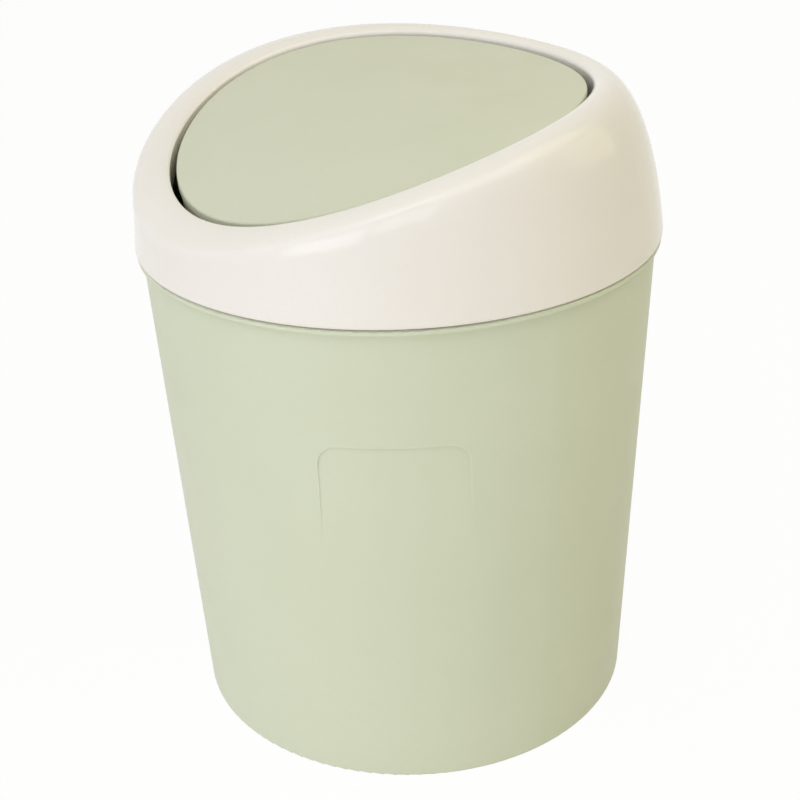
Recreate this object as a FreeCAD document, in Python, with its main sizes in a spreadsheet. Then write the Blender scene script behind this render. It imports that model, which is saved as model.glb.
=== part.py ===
import FreeCAD, Part
import math
import os
import Sketcher

# A desktop bin: a tapered round bucket, a push-on lid with a slanted, arched top,
# and a round flap that swings in the lid's opening on two pivot pins.
# The origin is the middle of the base, +Z is up, the low end of the lid faces -Y
# and the flap's pivot runs along X. Lengths are millimetres, angles degrees.

SIZES = (
    # the bucket
    ("ledge_height", 147.7, "ledge that the lid sits on"),
    ("lid_overhang", 1.85, "lid's lower edge beyond the bucket's wall"),
    ("wall_taper", 6.85, "radius that the bucket loses from the ledge to the table"),
    ("bucket_wall", 2.2, "wall near the floor"),
    ("floor_thick", 2.2, "floor of the bucket"),
    ("foot_height", 4.0, "hollow under the floor"),
    ("foot_width", 6.0, "width of the foot ring"),
    ("base_round", 0.8, "rounding of the outer base edge"),
    ("foot_round", 0.6, "rounding of the foot ring's inner edge"),
    ("floor_round", 2.0, "rounding inside, between floor and wall"),
    ("bead_height", 2.2, "height of the bead under the lid"),
    ("bead_depth", 1.5, "how far the bead stands out of the wall"),
    ("bead_top_round", 0.7, "rounding of the bead's upper edge"),
    ("bead_round", 0.5, "rounding of the bead's lower edge"),
    ("neck_height", 5.0, "neck above the ledge, inside the lid"),
    ("neck_wall", 1.4, "wall of the neck at its top"),
    ("neck_round", 0.5, "rounding of the neck's top edges"),
    # the shallow grip on the bucket's side
    ("grip_drop", 34.7, "top of the grip under the ledge"),
    ("grip_height", 32.0, "height over which the grip fades out"),
    ("grip_depth", 0.4, "depth of the grip under its ledge"),
    ("grip_width", 40.5, "width of the grip"),
    ("grip_corner", 6.0, "rounding of the grip's upper corners"),
    ("grip_bearing", -35.5, "direction of the grip, from +X about +Z"),
    # the lid
    ("lid_radius", 76.0, "outside of the lid at its lower edge"),
    ("lid_wall", 1.6, "wall of the lid"),
    ("lid_gap", 0.3, "gap between the lid's edge and the ledge"),
    ("edge_round", 0.8, "rounding of the lid's lower edge"),
    ("wall_lean", 0.1, "inward lean of the lid's wall at its foot, per height"),
    ("seat_clearance", 0.3, "gap between the lid's ribs and the neck"),
    ("rib_depth", 1.0, "locating ribs inside the lid"),
    ("rib_width", 1.6, "width of a locating rib"),
    ("rib_start", 1.0, "ribs start this far above the lid's edge"),
    ("rib_height", 4.0, "height of a locating rib"),
    ("lid_height", 44.2, "highest line of the arched top, above the lid's edge"),
    ("low_height", 13.9, "rim's crest at the low end, above the lid's edge"),
    ("apex_inset", 43.1, "highest line from the lid's edge at the high end"),
    ("low_shoulder", 2.5, "rim's crest inside the lid's edge at the low end"),
    ("high_shoulder", 18.5, "rim's crest inside the lid's edge at the high end"),
    ("low_rim", 9.3, "rim from crest to opening at the low end"),
    ("high_rim", 4.1, "rim from crest to opening at the high end"),
    ("side_rim", 4.9, "rim from crest to opening at the sides"),
    ("low_fullness", 0.95, "squareness of the shoulder at the low end"),
    ("side_fullness", 0.89, "squareness of the shoulder at the sides"),
    ("high_fullness", 0.3, "squareness of the shoulder at the high end"),
    ("rim_fullness", 0.55, "squareness of the rim"),
    ("rim_drop", 2.2, "fall of the rim from its crest to the opening"),
    ("collar_depth", 7.0, "depth of the collar under the opening's edge"),
    # the flap
    ("side_gap", 0.7, "gap beside the flap at the pivots"),
    ("end_gap", 2.2, "gap at the flap's low and high ends"),
    ("flap_recess", 0.2, "flap below the opening's edge"),
    ("flap_thick", 1.8, "panel of the flap"),
    ("flap_round", 0.6, "rounding of the flap's edge"),
    ("skirt_inset", 0.8, "flap's skirt inside its outline"),
    ("skirt_wall", 1.6, "wall of the flap's skirt"),
    ("skirt_depth", 4.0, "depth of the flap's skirt under the panel"),
    ("stiffener_wall", 1.8, "walls of the ribs under the flap"),
    ("stiffener_depth", 4.0, "depth of the two long ribs"),
    ("stiffener_place", 24.0, "long ribs from the middle"),
    ("beam_depth", 12.0, "depth of the cross rib under the pivot line"),
    # the pivots
    ("pivot_shift", -0.952, "pivot line from the opening's centre, at the flap's balance"),
    ("pivot_drop", 2.6, "pivot line under the flap's surface"),
    ("pin_radius", 1.5, "shank of a pivot pin"),
    ("pin_seat", 8.0, "length of the shank held in the flap"),
    ("pin_chamfer", 0.4, "chamfer at the pin's tip"),
    ("running_clearance", 0.05, "radial gap between pin and bearing"),
    ("head_radius", 3.0, "head of a pivot pin"),
    ("head_thick", 1.2, "thickness of the head"),
    ("head_gap", 0.3, "gap between head and bearing"),
    ("bearing_radius", 3.6, "bearing boss on the collar"),
    ("bearing_length", 2.6, "bearing boss beyond the collar"),
    ("socket_wall", 2.0, "wall of the flap's pin socket"),
    ("socket_end", 1.6, "solid end behind the pin's tip"),
)

DERIVED = (
    ("shoulder_radius", "lid_radius - lid_overhang"),
    ("base_radius", "shoulder_radius - wall_taper"),
    ("wall_rise", "wall_taper / ledge_height"),
    ("foot_inner", "base_radius - foot_width"),
    ("floor_top", "foot_height + floor_thick"),
    ("floor_radius", "base_radius + wall_rise * floor_top - bucket_wall"),
    ("bead_bottom", "ledge_height - bead_height"),
    ("bead_foot", "base_radius + wall_rise * bead_bottom"),
    ("bead_radius", "shoulder_radius + bead_depth"),
    ("bead_swell", "bead_bottom + bead_depth / 2"),
    ("lid_bottom", "ledge_height + lid_gap"),
    ("lid_inner", "lid_radius - lid_wall"),
    ("rib_inner", "lid_inner - rib_depth"),
    ("rib_root", "lid_inner + lid_wall / 2"),
    ("rib_bottom", "lid_bottom + rib_start"),
    ("rib_top", "rib_bottom + rib_height"),
    ("neck_radius", "rib_inner - seat_clearance"),
    ("mouth_radius", "neck_radius - neck_wall"),
    ("neck_top", "ledge_height + neck_height"),
    ("grip_top", "ledge_height - grip_drop"),
    ("grip_bottom", "grip_top - grip_height"),
    ("grip_edge", "base_radius + wall_rise * grip_top"),
    ("grip_floor", "grip_edge - grip_depth"),
    ("grip_fade", "base_radius + wall_rise * grip_bottom"),
    ("grip_outside", "grip_edge + grip_depth"),
    ("grip_left", "-grip_width / 2"),
    ("grip_right", "grip_width / 2"),
    ("crown_height", "lid_bottom + lid_height"),
    ("crest_radius", "lid_radius - (low_shoulder + high_shoulder) / 2"),
    ("crest_centre", "(low_shoulder - high_shoulder) / 2"),
    ("opening_half_x", "crest_radius - side_rim"),
    ("opening_half_y", "crest_radius - (low_rim + high_rim) / 2"),
    ("opening_centre", "crest_centre + (low_rim - high_rim) / 2"),
    ("arc_apex_y", "lid_radius - apex_inset"),
    ("arc_fall", "lid_height - low_height"),
    ("arc_reach", "arc_apex_y + lid_radius - low_shoulder"),
    ("arc_radius", "(arc_fall ^ 2 + arc_reach ^ 2) / (2 * arc_fall)"),
    ("arc_axis_z", "crown_height - arc_radius"),
    ("collar_half_x", "opening_half_x + lid_wall"),
    ("flap_arc", "arc_radius - rim_drop - flap_recess"),
    ("flap_core", "flap_arc - flap_thick / 2"),
    ("flap_under", "flap_arc - flap_thick"),
    ("skirt_arc", "flap_under - skirt_depth"),
    ("stiffener_arc", "flap_under - stiffener_depth"),
    ("flap_half_x", "opening_half_x - side_gap"),
    ("flap_half_y", "opening_half_y - end_gap"),
    ("skirt_half_x", "flap_half_x - skirt_inset"),
    ("skirt_half_y", "flap_half_y - skirt_inset"),
    ("hollow_half_x", "skirt_half_x - skirt_wall"),
    ("hollow_half_y", "skirt_half_y - skirt_wall"),
    ("rib_half_x", "skirt_half_x - skirt_wall / 2"),
    ("rib_half_y", "skirt_half_y - skirt_wall / 2"),
    ("pivot_y", "opening_centre + pivot_shift"),
    ("pivot_reach", "sqrt(flap_arc ^ 2 - (pivot_y - arc_apex_y) ^ 2)"),
    ("pivot_z", "arc_axis_z + pivot_reach - pivot_drop"),
    ("beam_bottom", "pivot_z - beam_depth"),
    ("socket_radius", "pin_radius + socket_wall"),
    ("pin_tip", "skirt_half_x - pin_seat"),
    ("pin_tip_edge", "pin_tip + pin_chamfer"),
    ("pin_tip_radius", "pin_radius - pin_chamfer"),
    ("socket_start", "pin_tip - socket_end"),
    ("bearing_bore", "pin_radius + running_clearance"),
    ("bearing_root", "opening_half_x + lid_wall / 2"),
    ("bearing_face", "collar_half_x + bearing_length"),
    ("head_face", "bearing_face + head_gap"),
    ("head_top", "head_face + head_thick"),
)

# Curves round half of the lid's skin pass through this many spans.
HALF_SPANS = 8
LID_RIBS = 8
# Two places this close are the same place.
FINE = 0.01

doc = FreeCAD.newDocument("DesktopBin")
sheet = doc.addObject("Spreadsheet::Sheet", "Sizes")


def fill_sheet():
    """Driving sizes first, then the sizes that follow from them."""
    for row, (alias, size, note) in enumerate(SIZES, start=1):
        sheet.set(f"A{row}", note)
        sheet.set(f"B{row}", str(size))
        sheet.setAlias(f"B{row}", alias)
    for row, (alias, formula) in enumerate(DERIVED, start=len(SIZES) + 1):
        sheet.set(f"A{row}", "follows from the sizes above")
        sheet.set(f"B{row}", "=" + formula)
        sheet.setAlias(f"B{row}", alias)
    doc.recompute()


def size(alias):
    """Present value of a size; zero stands for itself."""
    return float(getattr(sheet, alias)) if alias else 0.0


def bind(thing, **sizes):
    """Tie properties of an object to sizes of the sheet."""
    for prop, alias in sizes.items():
        thing.setExpression(prop, f"Sizes.{alias}")


def bind_place(thing, **sizes):
    """Tie the x, y or z of an object's place to sizes of the sheet."""
    for axis, formula in sizes.items():
        thing.setExpression(f"Placement.Base.{axis}", formula)


def outline(body, role, name, corners):
    """Closed straight-sided sketch; each corner is a pair of sizes, None for zero."""
    sketch = body.newObject("Sketcher::SketchObject", name)
    plane = next(p for p in body.Origin.OriginFeatures if p.Role == role)
    sketch.AttachmentSupport = [(plane, "")]
    sketch.MapMode = "FlatFace"
    points = [FreeCAD.Vector(size(across), size(up), 0) for across, up in corners]
    for start, end in zip(points, points[1:] + points[:1]):
        sketch.addGeometry(Part.LineSegment(start, end), False)
    for side in range(len(points)):
        following = (side + 1) % len(points)
        sketch.addConstraint(Sketcher.Constraint("Coincident", side, 2, following, 1))
    for corner, pair in enumerate(corners):
        for kind, alias in zip(("DistanceX", "DistanceY"), pair):
            place = Sketcher.Constraint(kind, -1, 1, corner, 1, size(alias))
            index = sketch.addConstraint(place)
            if alias:
                sketch.setExpression(f"Constraints[{index}]", f"Sizes.{alias}")
    return sketch


def revolve(body, name, sketch, axis):
    """Full turn of a sketch about one of its own axes."""
    turned = body.newObject("PartDesign::Revolution", name)
    turned.Profile = sketch
    turned.ReferenceAxis = (sketch, [axis])
    turned.Angle = 360
    doc.recompute()
    return turned


def edges_where(shape, wanted):
    """Names of a shape's edges that pass a test."""
    return [f"Edge{i}" for i, edge in enumerate(shape.Edges, start=1) if wanted(edge)]


def ring_edges(shape, *rings):
    """Names of the round edges at the given pairs of radius and height."""

    def wanted(edge):
        if not isinstance(edge.Curve, Part.Circle):
            return False
        ring = (edge.Curve.Radius, edge.Curve.Center.z)
        return any(math.dist(ring, (size(r), size(z))) < FINE for r, z in rings)

    return edges_where(shape, wanted)


def round_edges(body, name, edges, radius):
    """Round some edges of the body's latest feature."""
    base = body.Tip
    rounded = body.newObject("PartDesign::Fillet", name)
    rounded.Base = (base, edges)
    bind(rounded, Radius=radius)
    body.Tip = rounded
    doc.recompute()
    return rounded


def boolean(kind, name, first, second):
    """Cut, Fuse or Common of two objects."""
    made = doc.addObject(f"Part::{kind}", name)
    made.Base = first
    made.Tool = second
    return made


def fuse_all(name, things):
    """One solid out of several objects."""
    made = doc.addObject("Part::MultiFuse", name)
    made.Shapes = things
    return made


def arch(name, radius):
    """Everything under an arc that runs across the whole lid, along X."""
    log = doc.addObject("Part::Cylinder", name)
    log.Placement.Rotation = FreeCAD.Rotation(FreeCAD.Vector(0, 1, 0), 90)
    bind(log, Radius=radius)
    log.setExpression("Height", "4 * Sizes.lid_radius")
    bind_place(log, x="-2 * Sizes.lid_radius", y="Sizes.arc_apex_y", z="Sizes.arc_axis_z")
    return log


def oval_post(name, half_x, half_y):
    """Tall upright prism with an oval plan, about the opening's centre."""
    oval = doc.addObject("Part::Ellipse", name + "_plan")
    bind(oval, MajorRadius=half_x, MinorRadius=half_y)
    bind_place(oval, y="Sizes.opening_centre")
    post = doc.addObject("Part::Extrusion", name)
    post.Base = oval
    post.DirMode = "Custom"
    post.Dir = FreeCAD.Vector(0, 0, 1)
    post.Solid = True
    bind(post, LengthFwd="crown_height")
    return post


def pivot_rod(name, side, radius, start, end):
    """Cylinder on the pivot line between two distances from the middle."""
    rod = doc.addObject("Part::Cylinder", name)
    rod.Placement.Rotation = FreeCAD.Rotation(FreeCAD.Vector(0, 1, 0), 90 * side)
    bind(rod, Radius=radius)
    rod.setExpression("Height", f"Sizes.{end} - Sizes.{start}")
    bind_place(rod, x=f"{side} * Sizes.{start}", y="Sizes.pivot_y", z="Sizes.pivot_z")
    return rod


def make_bucket():
    """Tapered bucket with a foot ring, a bead and ledge for the lid, and a neck."""
    body = doc.addObject("PartDesign::Body", "bucket")
    profile = outline(body, "XZ_Plane", "bucket_profile", (
        (None, "foot_height"),
        ("foot_inner", "foot_height"),
        ("foot_inner", None),
        ("base_radius", None),
        ("bead_foot", "bead_bottom"),
        ("bead_radius", "bead_swell"),
        ("bead_radius", "ledge_height"),
        ("neck_radius", "ledge_height"),
        ("neck_radius", "neck_top"),
        ("mouth_radius", "neck_top"),
        ("floor_radius", "floor_top"),
        (None, "floor_top"),
    ))
    revolve(body, "bucket_shell", profile, "V_Axis")
    roundings = (
        ("base_round", (("base_radius", None),)),
        ("floor_round", (("floor_radius", "floor_top"),)),
        ("foot_round", (("foot_inner", None),)),
        ("neck_round", (("neck_radius", "neck_top"), ("mouth_radius", "neck_top"))),
        ("bead_round", (("bead_radius", "bead_swell"),)),
        ("bead_top_round", (("bead_radius", "ledge_height"),)),
    )
    for radius, rings in roundings:
        round_edges(body, radius + "ing", ring_edges(body.Tip.Shape, *rings), radius)
    return boolean("Cut", "bin_body", body, make_grip())


def make_grip():
    """Shallow grip in the wall: a ledge on top, rounded corners, fading out downwards."""
    ring = doc.addObject("PartDesign::Body", "grip_ring")
    revolve(ring, "grip_turn", outline(ring, "XZ_Plane", "grip_profile", (
        ("grip_floor", "grip_top"),
        ("grip_outside", "grip_top"),
        ("grip_outside", "grip_bottom"),
        ("grip_fade", "grip_bottom"),
    )), "V_Axis")
    block = doc.addObject("PartDesign::Body", "grip_block")
    pad = block.newObject("PartDesign::Pad", "grip_pad")
    pad.Profile = outline(block, "YZ_Plane", "grip_face", (
        ("grip_left", "grip_bottom"),
        ("grip_right", "grip_bottom"),
        ("grip_right", "grip_top"),
        ("grip_left", "grip_top"),
    ))
    bind(pad, Length="grip_outside")
    doc.recompute()

    def upper_corner(edge):
        level = all(abs(end.Point.z - size("grip_top")) < FINE for end in edge.Vertexes)
        return level and abs(edge.Length - size("grip_outside")) < FINE

    round_edges(block, "grip_corners", edges_where(pad.Shape, upper_corner), "grip_corner")
    block.Placement.Rotation = FreeCAD.Rotation(FreeCAD.Vector(0, 0, 1), size("grip_bearing"))
    block.setExpression("Placement.Rotation.Angle", "Sizes.grip_bearing * 1deg")
    return boolean("Common", "grip", block, ring)


def make_ribs():
    """Locating ribs inside the lid's lower edge, which centre it on the neck."""
    body = doc.addObject("PartDesign::Body", "lid_ribs")
    body.AllowCompound = True
    rib = body.newObject("PartDesign::Pad", "lid_rib")
    rib.Profile = outline(body, "XZ_Plane", "rib_profile", (
        ("rib_inner", "rib_bottom"),
        ("rib_root", "rib_bottom"),
        ("rib_root", "rib_top"),
        ("rib_inner", "rib_top"),
    ))
    rib.SideType = "Symmetric"
    bind(rib, Length="rib_width")
    doc.recompute()
    ribs = body.newObject("PartDesign::PolarPattern", "rib_ring")
    ribs.Originals = [rib]
    ribs.Axis = (rib.Profile[0], ["V_Axis"])
    ribs.Angle = 360
    ribs.Occurrences = LID_RIBS
    body.Tip = ribs
    doc.recompute()
    return body


def arched_height(y, inset):
    """Height of the arched top over a place y, lowered by an inset."""
    reach = size("arc_radius") - inset
    return size("arc_axis_z") + math.sqrt(reach ** 2 - (y - size("arc_apex_y")) ** 2)


def oval_place(half_x, half_y, centre, bearing):
    """Plan point of an oval about a centre on the middle plane."""
    return FreeCAD.Vector(half_x * math.cos(bearing), centre + half_y * math.sin(bearing), 0)


def ring_place(radius, centre, bearing):
    """Plan point of a circle about a centre on the middle plane."""
    return oval_place(radius, radius, centre, bearing)


def on_arch(plan, inset):
    """A plan point raised to the arched top."""
    return FreeCAD.Vector(plan.x, plan.y, arched_height(plan.y, inset))


def fullness(bearing):
    """Squareness of the shoulder at a bearing, through its low, side and high values."""
    low, side, high = size("low_fullness"), size("side_fullness"), size("high_fullness")
    along = math.sin(bearing)
    return side + (high - low) / 2 * along + ((high + low) / 2 - side) * along ** 2


def edge_places(bearing):
    """Rounded lower edge of the lid at one bearing: underside, corner and foot."""
    under = ring_place(size("lid_radius") - size("edge_round"), 0.0, bearing)
    corner = ring_place(size("lid_radius"), 0.0, bearing)
    under.z = corner.z = size("lid_bottom")
    return under, corner, corner + FreeCAD.Vector(0, 0, size("edge_round"))


def skin_places(foot, bearing, inset):
    """The lid's skin at one bearing: foot, crest, opening and collar, with their handles.

    The wall rises from the foot to the crest and the rim falls from the crest into the
    opening. Each is a cubic curve with two handles between its ends.
    """
    square = fullness(bearing)
    crest_plan = ring_place(size("crest_radius") - inset, size("crest_centre"), bearing)
    crest = on_arch(crest_plan, inset)
    rise = (crest.z - foot.z) * square
    above_foot = foot - ring_place(rise * size("wall_lean"), 0.0, bearing) + FreeCAD.Vector(0, 0, rise)
    outside = FreeCAD.Vector(foot.x - crest.x, foot.y - crest.y, 0)
    outside_crest = on_arch(crest_plan + outside * square, inset)
    half_x = size("opening_half_x") + inset
    half_y = size("opening_half_y") + inset
    opening = on_arch(oval_place(half_x, half_y, size("opening_centre"), bearing), inset)
    opening.z -= size("rim_drop")
    inward = (crest - outside_crest).normalize()
    run = math.hypot(opening.x - crest.x, opening.y - crest.y)
    inside_crest = crest + inward * (run * size("rim_fullness"))
    above_opening = opening + FreeCAD.Vector(0, 0, size("rim_drop") * size("rim_fullness"))
    collar = on_arch(opening, 0.0)
    collar.z -= size("rim_drop") + size("collar_depth")
    return foot, above_foot, outside_crest, crest, inside_crest, above_opening, opening, collar


def half_round(points):
    """Smooth curve through points from the low end to the high end, square to the middle."""
    steps = [i / HALF_SPANS for i in range(HALF_SPANS + 1)]
    pace = math.pi / math.sin(math.pi / HALF_SPANS)
    curve = Part.BSplineCurve()
    curve.interpolate(
        Points=points,
        Parameters=steps,
        InitialTangent=FreeCAD.Vector(points[1].x * pace, 0, 0),
        FinalTangent=FreeCAD.Vector(-points[-2].x * pace, 0, 0),
        Scale=False,
    )
    return curve


def strip(curves):
    """Face swept between curves of one half: the first and last bound it, the rest steer it."""
    degree = len(curves) - 1
    surface = Part.BSplineSurface()
    surface.buildFromPolesMultsKnots(
        [curve.getPoles() for curve in curves],
        [degree + 1, degree + 1],
        curves[0].getMultiplicities(),
        [0.0, 1.0],
        curves[0].getKnots(),
        False,
        False,
        degree,
        curves[0].Degree,
    )
    return surface.toShape()


def half_rounds(places):
    """Curves round the right half of the lid, one for each place along its section."""
    columns = [places(math.pi * (i / HALF_SPANS - 0.5)) for i in range(HALF_SPANS + 1)]
    for end in (columns[0], columns[-1]):
        for place in end:
            place.x = 0.0
    return [half_round(list(row)) for row in zip(*columns)]


def make_skin():
    """Thin skin of the lid: outer and inner faces, closed at the lower edge and the collar."""

    def outer_places(bearing):
        return skin_places(edge_places(bearing)[-1], bearing, 0.0)

    def inner_places(bearing):
        foot = ring_place(size("lid_inner"), 0.0, bearing)
        foot.z = size("lid_bottom")
        return skin_places(foot, bearing, size("lid_wall"))

    edge = half_rounds(edge_places)
    outer = half_rounds(outer_places)
    inner = half_rounds(inner_places)
    half = [strip(edge), strip([edge[0], inner[0]]), strip([outer[-1], inner[-1]])]
    for curves in (outer, inner):
        half += [strip(curves[0:4]), strip(curves[3:7]), strip(curves[6:8])]
    middle = FreeCAD.Vector(0, 0, 0)
    across = FreeCAD.Vector(1, 0, 0)
    shell = Part.Compound(half + [face.mirror(middle, across) for face in half])
    shell.sewShape()
    skin = doc.addObject("Part::Feature", "skin")
    skin.Shape = Part.makeSolid(shell.Shells[0])
    return skin


def make_lid():
    """Lid: arched skin with a collar round the opening, locating ribs and two pivot bearings."""
    pieces = [make_skin(), make_ribs()]
    bores = []
    for side, word in ((1, "right"), (-1, "left")):
        pieces.append(pivot_rod(f"bearing_{word}", side, "bearing_radius", "bearing_root", "bearing_face"))
        bores.append(pivot_rod(f"bearing_bore_{word}", side, "bearing_bore", "hollow_half_x", "head_face"))
    return boolean("Cut", "lid_cover", fuse_all("lid_mass", pieces), fuse_all("bearing_bores", bores))


def make_flap():
    """Oval flap: an arched panel with a skirt, ribs and pin sockets underneath."""
    block = boolean("Common", "flap_block", oval_post("flap_post", "flap_half_x", "flap_half_y"),
                    arch("flap_top", "flap_arc"))
    panel = boolean("Cut", "flap_panel", block, arch("flap_underside", "flap_under"))
    doc.recompute()
    rounded = doc.addObject("Part::Fillet", "flap_edge")
    rounded.Base = panel

    def upper_rim(edge):
        crown = edge.valueAt(edge.FirstParameter)
        reach = math.hypot(crown.y - size("arc_apex_y"), crown.z - size("arc_axis_z"))
        return abs(reach - size("flap_arc")) < FINE and edge.Length > size("flap_half_y")

    names = edges_where(panel.Shape, upper_rim)
    rounded.Edges = [(int(name[4:]), size("flap_round"), size("flap_round")) for name in names]
    ring = boolean("Cut", "skirt_ring", oval_post("skirt_post", "skirt_half_x", "skirt_half_y"),
                   oval_post("hollow_post", "hollow_half_x", "hollow_half_y"))
    pieces = [rounded, under_panel("flap_skirt", ring, "skirt_arc")]
    for side, word in ((1, "right"), (-1, "left")):
        slab = doc.addObject("Part::Box", f"rib_slab_{word}")
        bind(slab, Length="stiffener_wall", Height="crown_height")
        slab.setExpression("Width", "2 * Sizes.flap_half_y")
        bind_place(slab, x=f"{side} * Sizes.stiffener_place - Sizes.stiffener_wall / 2",
                   y="Sizes.opening_centre - Sizes.flap_half_y")
        rib = boolean("Common", f"long_rib_{word}", slab,
                      oval_post(f"rib_post_{word}", "rib_half_x", "rib_half_y"))
        pieces.append(under_panel(f"stiffener_{word}", rib, "stiffener_arc"))
        socket = pivot_rod(f"socket_rod_{word}", side, "socket_radius", "socket_start", "skirt_half_x")
        pieces.append(boolean("Common", f"socket_{word}", socket, arch(f"socket_arch_{word}", "flap_core")))
    beam = doc.addObject("Part::Box", "beam_block")
    bind(beam, Width="stiffener_wall", Height="crown_height")
    beam.setExpression("Length", "2 * Sizes.pin_tip")
    bind_place(beam, x="-Sizes.pin_tip", y="Sizes.pivot_y - Sizes.stiffener_wall / 2", z="Sizes.beam_bottom")
    pieces.append(boolean("Common", "beam", beam, arch("beam_arch", "flap_core")))
    bores = [pivot_rod(f"socket_bore_{word}", side, "pin_radius", "pin_tip", "collar_half_x")
             for side, word in ((1, "right"), (-1, "left"))]
    return boolean("Cut", "swing_flap", fuse_all("flap_mass", pieces), fuse_all("socket_bores", bores))


def under_panel(name, prism, lower_arc):
    """The part of an upright prism between the flap's panel and an arc below it."""
    upper = boolean("Common", name + "_upper", prism, arch(name + "_arch", "flap_core"))
    return boolean("Cut", name, upper, arch(name + "_hollow", lower_arc))


def make_pin(side, word):
    """Pivot pin: a headed stub, pressed into the flap through the lid's bearing."""
    body = doc.addObject("PartDesign::Body", f"pivot_pin_{word}")
    revolve(body, f"pin_turn_{word}", outline(body, "XZ_Plane", f"pin_profile_{word}", (
        ("pin_tip", None),
        ("pin_tip", "pin_tip_radius"),
        ("pin_tip_edge", "pin_radius"),
        ("head_face", "pin_radius"),
        ("head_face", "head_radius"),
        ("head_top", "head_radius"),
        ("head_top", None),
    )), "H_Axis")
    body.Placement.Rotation = FreeCAD.Rotation(FreeCAD.Vector(0, 0, 1), 90 - 90 * side)
    bind_place(body, y="Sizes.pivot_y", z="Sizes.pivot_z")
    return body


def write_parts(nodes):
    """Stop at anything that failed; otherwise write one file per node."""
    doc.recompute()
    for thing in doc.Objects:
        bad = {"Invalid", "Error"} & set(thing.State)
        if bad:
            raise RuntimeError(f"{thing.Label}: {thing.State}")
    for node in nodes:
        shape = node.Shape
        if shape.isNull() or not shape.isValid():
            raise RuntimeError(f"{node.Label}: no valid shape")
    os.makedirs("parts", exist_ok=True)
    for node in nodes:
        node.Shape.exportStep(f"parts/{node.Label}.step")
        print(node.Label, len(node.Shape.Solids), round(node.Shape.Volume))


fill_sheet()
bucket = make_bucket()
lid = make_lid()
flap = make_flap()
pins = [make_pin(1, "right"), make_pin(-1, "left")]
write_parts([bucket, lid, flap] + pins)
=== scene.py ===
import math

import bpy
from mathutils import Matrix, Vector

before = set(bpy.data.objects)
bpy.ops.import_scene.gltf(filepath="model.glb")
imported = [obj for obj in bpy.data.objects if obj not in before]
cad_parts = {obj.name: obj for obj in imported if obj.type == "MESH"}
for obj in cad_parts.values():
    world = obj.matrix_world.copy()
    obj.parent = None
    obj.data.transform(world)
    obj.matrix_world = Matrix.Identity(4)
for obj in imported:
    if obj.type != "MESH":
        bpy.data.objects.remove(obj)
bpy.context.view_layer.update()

# A millimetre, in metres.
MM = 0.001

# The camera: where it stands in the part's frame (metres), where it looks, and its lens.
CAMERA_PLACE = (0.3504, -0.2241, 0.3005)
CAMERA_HEADING = math.radians(57.62)
CAMERA_DOWN = math.radians(26.78)
CAMERA_ROLL = math.radians(-2.32)
CAMERA_LENS_MM = 68.04
CAMERA_SENSOR_MM = 36.0
CAMERA_NEAREST = 0.01

# Colours of the mouldings, linear: the moulding, its paler flow clouds and its rubbed edges,
# which are paler partly from wear and partly as a painted highlight.
GREEN = ((0.6, 0.645, 0.5, 1.0), (0.62, 0.66, 0.52, 1.0), (0.76, 0.78, 0.67, 1.0))
FLAP_GREEN = ((0.588, 0.612, 0.478, 1.0), (0.608, 0.627, 0.497, 1.0), (0.72, 0.73, 0.62, 1.0))
CREAM = ((0.805, 0.77, 0.732, 1.0), (0.825, 0.795, 0.76, 1.0), (0.87, 0.845, 0.80, 1.0))

# Finishes: lowest and highest roughness, width of the grain in mm and its height in mm.
MATT = ((0.42, 0.52), 0.5, 0.012)
GLOSSY = ((0.08, 0.14), 2.5, 0.004)
PLASTIC_IOR = 1.49

# Patterns in the plastic: width in metres, and the detail and roughness of the noise.
CLOUDS = (0.045, 3.0, 0.5)
SPECKS = (0.0012, 2.0, 0.5)
WEAR_AND_HIGHLIGHT_PATCHES = (0.006, 4.0, 0.5)
SMEARS = (0.012, 4.0, 0.6)
GRAIN_DETAIL = 2.0
GRAIN_ROUGHNESS = 0.6
# Least and most that a speck scales a cloud by, and that a sharp edge is worn and painted with
# a highlight.
SPECK_STRENGTH = (0.6, 1.4)
WEAR_AND_HIGHLIGHT_SHARE = (0.1, 0.7)
# Added to the roughness where an edge is fully worn.
WORN_ROUGHNESS = -0.08
# How far from an edge, in metres, it is worn and painted with a highlight.
EDGE_REACH = 0.0006
EDGE_SAMPLES = 8
# How alike the rounded and plain normals are where an edge begins, and where it is sharp.
EDGE_BEGINS = 0.995
EDGE_SHARP = 0.9
# Most of a noise's values lie between these two.
NOISE_LOW = 0.3
NOISE_HIGH = 0.7

FLOOR_SIZE = 8.0
FLOOR_ROUGHNESS = 0.9
FLOOR_WHITE = (0.92, 0.89, 0.80, 1.0)
# Share of the floor's look that is plain white; the rest shows the light and the shadow.
FLOOR_GLOW = 0.955
WHITE = (1.0, 1.0, 1.0, 1.0)

# Light of the surround: bright on the side of the windows, dim on the other.
AMBIENT = 0.87
BRIGHT = (1.0, 1.0, 0.955, 1.0)
DIM = (0.03, 0.027, 0.02, 1.0)
DIM_SIDE = (0.54, 0.84, 0.0)
# How much a direction leans to the dim side where the dimming begins, and where it is full.
DIM_BEGINS = -0.5
DIM_FULL = 0.5

# Lamp panels: heading in degrees from +X, distance and height in metres, width and height
# of the panel in metres, watts and colour. All face the middle of the bin.
LAMP_TARGET_HEIGHT = 0.12
LAMPS = (
    ("window", -64, 0.6, 0.17, (0.34, 0.22), 0.47, (0.95, 0.95, 1.15)),
    ("high_window", -64, 0.6, 0.9, (0.45, 0.45), 0.9, (0.92, 0.96, 1.25)),
    ("overhead", -6, 0.6, 0.9, (0.85, 0.85), 2.7, (1.0, 0.97, 0.88)),
    ("warm_side", 60, 0.5, 0.95, (0.7, 0.7), 1.85, (1.0, 0.93, 0.43)),
    ("low_warm", 60, 0.8, 0.36, (0.5, 0.5), 0.65, (1.05, 0.9, 0.45)),
    ("low_fill", -32, 0.8, 0.25, (0.35, 0.35), 0.5, (0.95, 1.0, 1.0)),
)


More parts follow.
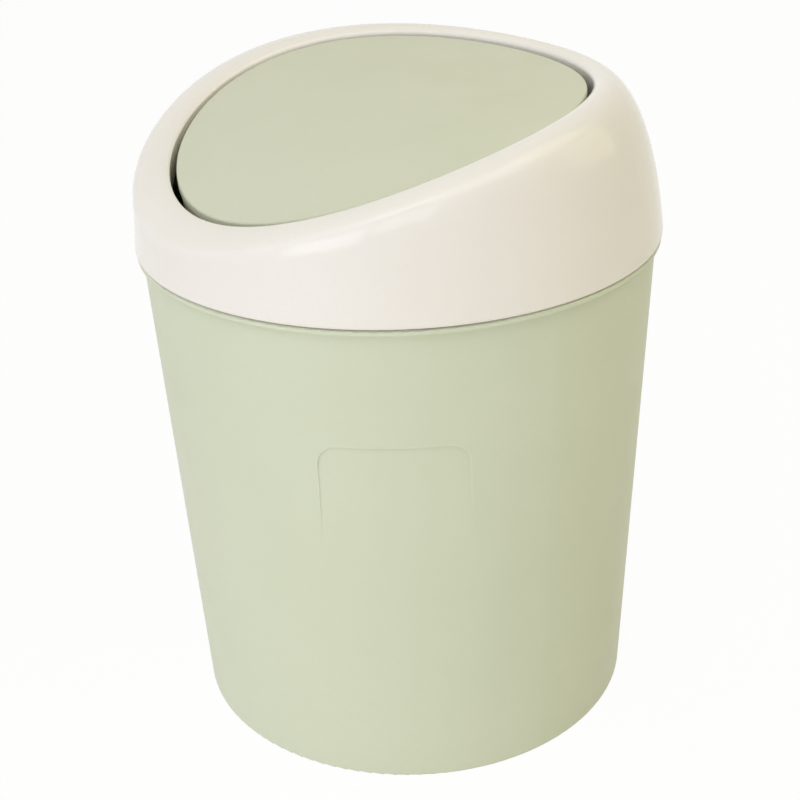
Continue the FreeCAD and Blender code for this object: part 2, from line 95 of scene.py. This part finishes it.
def new_material(name):
    """A node material with its tree and its shader."""
    material = bpy.data.materials.new(name)
    material.use_nodes = True
    tree = material.node_tree
    shader = tree.nodes["Principled BSDF"]
    return material, tree, shader


def add_node(tree, kind, **values):
    """A node with its properties and input values set by name."""
    node = tree.nodes.new(kind)
    for name, value in values.items():
        if name in node.inputs:
            node.inputs[name].default_value = value
        else:
            setattr(node, name, value)
    return node


def feed(tree, value, socket):
    """Link a node's output to a socket, or set the socket to a constant."""
    if isinstance(value, bpy.types.NodeSocket):
        tree.links.new(value, socket)
    else:
        socket.default_value = value


def noise(tree, coords, width_m, detail, roughness):
    """Noise whose features are about width_m across, in the object's own frame."""
    node = add_node(
        tree, "ShaderNodeTexNoise", Scale=1.0 / width_m, Detail=detail, Roughness=roughness
    )
    tree.links.new(coords, node.inputs["Vector"])
    return node.outputs["Fac"]


def map_range(tree, value, source, target=(0.0, 1.0)):
    """A value moved from one range to another, and held inside it."""
    node = add_node(tree, "ShaderNodeMapRange")
    node.inputs["From Min"].default_value, node.inputs["From Max"].default_value = source
    node.inputs["To Min"].default_value, node.inputs["To Max"].default_value = target
    tree.links.new(value, node.inputs["Value"])
    return node.outputs["Result"]


def spread(tree, value, low, high):
    """A noise value stretched to run from low to high."""
    return map_range(tree, value, (NOISE_LOW, NOISE_HIGH), (low, high))


def blend_colour(tree, factor, first, second):
    """Colour between two colours, each a constant or a node's output."""
    node = add_node(tree, "ShaderNodeMix", data_type="RGBA")
    feed(tree, factor, node.inputs["Factor"])
    colours = [socket for socket in node.inputs if socket.type == "RGBA"]
    feed(tree, first, colours[0])
    feed(tree, second, colours[1])
    return next(socket for socket in node.outputs if socket.type == "RGBA")


def blend_shaders(tree, factor, first, second, surface):
    """Show one shader, or another where the factor is 1, on a surface."""
    mix = tree.nodes.new("ShaderNodeMixShader")
    for value, socket in zip((factor, first, second), mix.inputs):
        tree.links.new(value, socket)
    tree.links.new(mix.outputs[0], surface)


def combine(tree, operation, first, second):
    """Two values, each a constant or a node's output, put together by a named operation."""
    node = add_node(tree, "ShaderNodeMath", operation=operation)
    feed(tree, first, node.inputs[0])
    feed(tree, second, node.inputs[1])
    return node.outputs[0]


def edge_mask(tree):
    """1 on sharp edges and 0 on flat or gently curved faces."""
    rounded = add_node(tree, "ShaderNodeBevel", samples=EDGE_SAMPLES, Radius=EDGE_REACH)
    plain = tree.nodes.new("ShaderNodeNewGeometry")
    likeness = add_node(tree, "ShaderNodeVectorMath", operation="DOT_PRODUCT")
    tree.links.new(rounded.outputs["Normal"], likeness.inputs[0])
    tree.links.new(plain.outputs["Normal"], likeness.inputs[1])
    return map_range(tree, likeness.outputs["Value"], (EDGE_BEGINS, EDGE_SHARP))


def moulded_plastic(name, colours, finish):
    """Injection-moulded plastic: flow clouds, rubbed edges paler from wear and a painted
    highlight, a fine grain and uneven gloss.
    """
    plain, pale, rubbed_and_highlit = colours
    roughness, grain_mm, grain_height_mm = finish
    material, tree, shader = new_material(name)
    coords = tree.nodes.new("ShaderNodeTexCoord").outputs["Object"]
    clouds = spread(tree, noise(tree, coords, *CLOUDS), 0.0, 1.0)
    specks = spread(tree, noise(tree, coords, *SPECKS), *SPECK_STRENGTH)
    mottled = blend_colour(tree, combine(tree, "MULTIPLY", clouds, specks), plain, pale)
    worn_and_highlit = spread(tree, noise(tree, coords, *WEAR_AND_HIGHLIGHT_PATCHES), *WEAR_AND_HIGHLIGHT_SHARE)
    # Sharp edges get a paler colour, partly real wear and partly a painted highlight, and a
    # lower roughness from wear.
    wear_and_highlight = combine(tree, "MULTIPLY", edge_mask(tree), worn_and_highlit)
    tree.links.new(blend_colour(tree, wear_and_highlight, mottled, rubbed_and_highlit), shader.inputs["Base Color"])
    smears = spread(tree, noise(tree, coords, *SMEARS), *roughness)
    polished = combine(tree, "MULTIPLY", wear_and_highlight, WORN_ROUGHNESS)
    tree.links.new(combine(tree, "ADD", smears, polished), shader.inputs["Roughness"])
    grain = noise(tree, coords, grain_mm * MM, GRAIN_DETAIL, GRAIN_ROUGHNESS)
    bump = add_node(tree, "ShaderNodeBump", Strength=1.0, Distance=grain_height_mm * MM)
    tree.links.new(grain, bump.inputs["Height"])
    tree.links.new(bump.outputs["Normal"], shader.inputs["Normal"])
    shader.inputs["IOR"].default_value = PLASTIC_IOR
    return material


def dress(material, *nodes):
    """Give CAD nodes their finish."""
    for node in nodes:
        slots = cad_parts[node].data.materials
        slots.clear()
        slots.append(material)


def make_camera():
    """Camera at the photograph's viewing angle."""
    camera = bpy.data.objects.new("camera", bpy.data.cameras.new("camera"))
    bpy.context.scene.collection.objects.link(camera)
    camera.data.lens = CAMERA_LENS_MM
    camera.data.sensor_width = CAMERA_SENSOR_MM
    camera.data.clip_start = CAMERA_NEAREST
    turn = Matrix.Rotation(CAMERA_HEADING, 4, "Z")
    tilt = Matrix.Rotation(math.pi / 2 - CAMERA_DOWN, 4, "X")
    roll = Matrix.Rotation(CAMERA_ROLL, 4, "Z")
    camera.matrix_world = Matrix.Translation(CAMERA_PLACE) @ turn @ tilt @ roll
    bpy.context.scene.camera = camera


def make_panel(name, heading_deg, distance_m, height_m, size_m, watts, colour):
    """Soft lamp panel at a heading about the bin, facing its middle."""
    lamp = bpy.data.lights.new(name, "AREA")
    lamp.shape = "RECTANGLE"
    lamp.size, lamp.size_y = size_m
    lamp.energy = watts
    lamp.color = colour
    thing = bpy.data.objects.new(name, lamp)
    bpy.context.scene.collection.objects.link(thing)
    heading = math.radians(heading_deg)
    thing.location = (distance_m * math.cos(heading), distance_m * math.sin(heading), height_m)
    aim = Vector((0, 0, LAMP_TARGET_HEIGHT)) - thing.location
    thing.rotation_euler = aim.to_track_quat("-Z", "Y").to_euler()


def direct_view(tree):
    """1 for rays that show the surround itself: straight, in gloss or through clear parts."""
    rays = tree.nodes.new("ShaderNodeLightPath").outputs
    mirrored = combine(tree, "MAXIMUM", rays["Is Glossy Ray"], rays["Is Transmission Ray"])
    return combine(tree, "MAXIMUM", rays["Is Camera Ray"], mirrored)


def side_tint(tree):
    """Colour of the surround: bright on one side, dim on the other."""
    direction = tree.nodes.new("ShaderNodeTexCoord").outputs["Generated"]
    lean = add_node(tree, "ShaderNodeVectorMath", operation="DOT_PRODUCT")
    tree.links.new(direction, lean.inputs[0])
    lean.inputs[1].default_value = DIM_SIDE
    share = map_range(tree, lean.outputs["Value"], (DIM_BEGINS, DIM_FULL))
    return blend_colour(tree, share, BRIGHT, DIM)


def make_floor():
    """Pale floor that looks white and keeps the shadow."""
    bpy.ops.mesh.primitive_plane_add(size=FLOOR_SIZE, location=(0, 0, 0))
    floor = bpy.context.object
    floor.name = "floor"
    material, tree, shader = new_material("floor")
    shader.inputs["Base Color"].default_value = FLOOR_WHITE
    shader.inputs["Roughness"].default_value = FLOOR_ROUGHNESS
    glow = add_node(tree, "ShaderNodeEmission", Strength=1.0)
    share = combine(tree, "MULTIPLY", direct_view(tree), FLOOR_GLOW)
    surface = tree.nodes["Material Output"].inputs["Surface"]
    blend_shaders(tree, share, shader.outputs[0], glow.outputs[0], surface)
    floor.data.materials.append(material)


def make_surround():
    """Soft light from all round, on a surround that looks white."""
    world = bpy.data.worlds.new("studio")
    bpy.context.scene.world = world
    world.use_nodes = True
    tree = world.node_tree
    ambient = tree.nodes["Background"]
    tree.links.new(side_tint(tree), ambient.inputs["Color"])
    ambient.inputs["Strength"].default_value = AMBIENT
    white = add_node(tree, "ShaderNodeBackground", Strength=1.0, Color=WHITE)
    surface = tree.nodes["World Output"].inputs["Surface"]
    blend_shaders(tree, direct_view(tree), ambient.outputs[0], white.outputs[0], surface)


dress(moulded_plastic("bucket_plastic", GREEN, MATT), "bin_body")
dress(moulded_plastic("flap_plastic", FLAP_GREEN, MATT), "swing_flap")
dress(
    moulded_plastic("lid_plastic", CREAM, GLOSSY),
    "lid_cover", "pivot_pin_right", "pivot_pin_left",
)

make_camera()
make_floor()
make_surround()
for panel in LAMPS:
    make_panel(*panel)

bpy.context.scene.view_settings.view_transform = "Standard"
